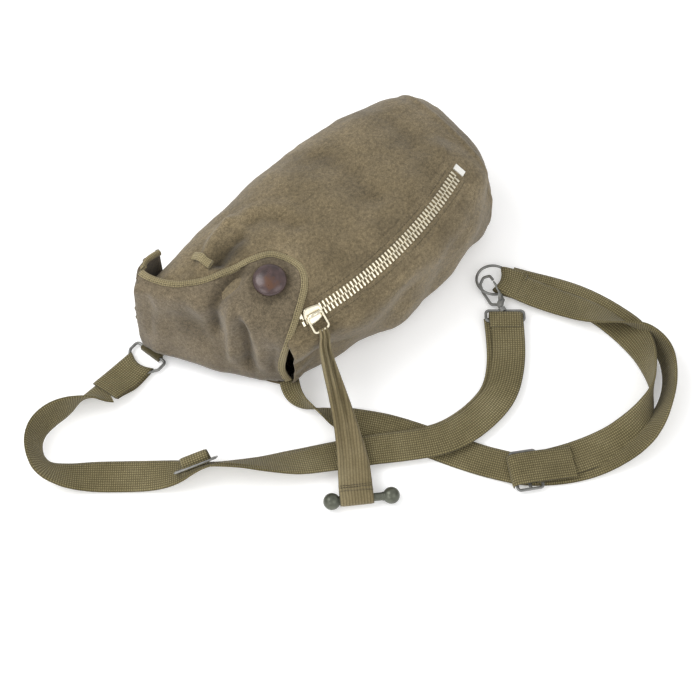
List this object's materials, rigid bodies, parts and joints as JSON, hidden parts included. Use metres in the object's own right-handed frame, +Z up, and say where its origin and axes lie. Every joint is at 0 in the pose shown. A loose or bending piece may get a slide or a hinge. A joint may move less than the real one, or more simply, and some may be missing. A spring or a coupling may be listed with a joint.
{
  "type": "smoke hood in carrying bag",
  "caption": "Canvas carrying bag with snap flap, zip, toggle pull and adjustable webbing straps, holding a folded escape hood with filter and half mask.",
  "frame": {"origin": "centre of the bag's footprint on the surface it lies on", "axes": "+X along the bag from its mouth to its closed end, +Z up, -Y towards the zip side"},
  "size_m": [0.442, 0.3479, 0.1003],
  "materials": {
    "canvas": "woven cotton duck, faded olive",
    "flap_canvas": "woven cotton duck, greyer olive",
    "binding": "herringbone binding tape, khaki",
    "webbing": "ribbed cotton webbing, olive green",
    "pull_cloth": "light khaki tape",
    "zip_cloth": "zip tape, olive",
    "zip_metal": "bright, slightly warm",
    "stop_metal": "white lacquer",
    "cap_metal": "dark brown lacquer, satin",
    "gunmetal": "phosphated, dark green-grey",
    "grey_steel": "zinc grey, dull",
    "spring_steel": "light grey, satin",
    "rubber": "moulded black rubber",
    "can_paint": "olive enamel",
    "cap_plastic": "red moulded plastic",
    "valve_plastic": "natural moulded plastic",
    "hood_film": "heat resistant film, amber",
    "lens": "clear film"
  },
  "bodies": {
    "root": {"bag_bottom": "canvas", "bag_left_side": "canvas", "bag_right_side": "canvas", "bag_top": "canvas", "bag_end_panel": "canvas", "snap_stud": "zip_metal", "snap_washer": "zip_metal", "zip_tape_upper": "zip_cloth", "zip_tape_lower": "zip_cloth", "zip_teeth_upper": "zip_metal", "zip_teeth_lower": "zip_metal", "zip_end_stop": "stop_metal", "zip_top_stops": "zip_metal", "d_ring_keeper": "webbing", "strap_a": "webbing", "strap_a_return": "webbing", "strap_a_hook_fold": "webbing", "hook_eye": "grey_steel", "strap_b": "webbing", "strap_b_return": "webbing", "strap_b_ring_fold": "webbing", "filter_canister": "can_paint", "canister_gasket": "rubber", "canister_cap": "cap_plastic", "half_mask": "rubber", "inhale_valve": "valve_plastic", "exhale_valve": "valve_plastic", "hood_pack": "hood_film", "visor_lens": "lens", "neck_seal": "rubber"},
    "flap": {"mouth_flap": "flap_canvas", "flap_binding": "binding", "snap_cap": "cap_metal", "snap_socket": "zip_metal"},
    "slider": {"zip_slider": "zip_metal"},
    "pull": {"slider_bail": "zip_metal", "pull_tape": "pull_cloth"},
    "toggle": {"toggle": "gunmetal"},
    "d_ring": {"d_ring": "grey_steel", "strap_a_end_loop": "webbing"},
    "buckle_a": {"buckle_a": "grey_steel", "buckle_a_tail": "webbing"},
    "buckle_b": {"buckle_b": "grey_steel", "buckle_b_tail": "webbing"},
    "hook": {"hook_body": "grey_steel", "hook_rivet": "grey_steel"},
    "gate": {"hook_gate": "spring_steel"},
    "ring": {"strap_ring": "grey_steel"}
  },
  "joints": [
    {"name": "flap_hinge", "type": "hinge", "parent": "root", "child": "flap", "pos_m": [-0.11126, -0.00889, 0.0056], "axis": [0.4962, -0.8682, 0], "range_deg": [0, 55]},
    {"name": "zip_travel", "type": "hinge", "parent": "root", "child": "slider", "pos_m": [-0.01096, 0.26488, 0.08325], "axis": [-0.0744, -0.0072, 0.9972], "range_deg": [0, 23]},
    {"name": "pull_lift", "type": "hinge", "parent": "slider", "child": "pull", "pos_m": [-0.05581, -0.05812, 0.08139], "axis": [-0.9878, 0.1376, -0.0727], "range_deg": [0, 45]},
    {"name": "toggle_spin", "type": "hinge", "parent": "pull", "child": "toggle", "pos_m": [-0.1056, -0.1623, 0.00635], "axis": [0.8246, -0.5657, 0], "continuous": true},
    {"name": "d_ring_swing", "type": "hinge", "parent": "root", "child": "d_ring", "pos_m": [-0.1423, 0.0353, 0.0029], "axis": [-0.1726, 0.985, 0], "range_deg": [0, 20]},
    {"name": "buckle_a_slide", "type": "slide", "parent": "root", "child": "buckle_a", "axis": [0.814, -0.5809, 0], "range_m": [0, 0.025]},
    {"name": "buckle_b_slide", "type": "slide", "parent": "root", "child": "buckle_b", "axis": [0.8529, -0.5222, 0], "range_m": [0, 0.025]},
    {"name": "hook_swivel", "type": "hinge", "parent": "root", "child": "hook", "pos_m": [0.0858, -0.1152, 0.006], "axis": [0.3, 0.9539, 0], "range_deg": [-6, 3]},
    {"name": "gate_spring", "type": "hinge", "parent": "hook", "child": "gate", "pos_m": [0.09106, -0.10857, 0.00812], "axis": [-0.5472, 0.1721, 0.8192], "range_deg": [0, 9], "stiffness_Nm_per_rad": 0.01, "springref_deg": -2.86},
    {"name": "ring_spin", "type": "hinge", "parent": "root", "child": "ring", "pos_m": [0.1002, -0.0904, 0.0053], "axis": [0, 0, 1], "continuous": true}
  ],
  "couplings": [
    {"joint": "pull_lift", "follows": "zip_travel", "ratio": 1.74}
  ]
}
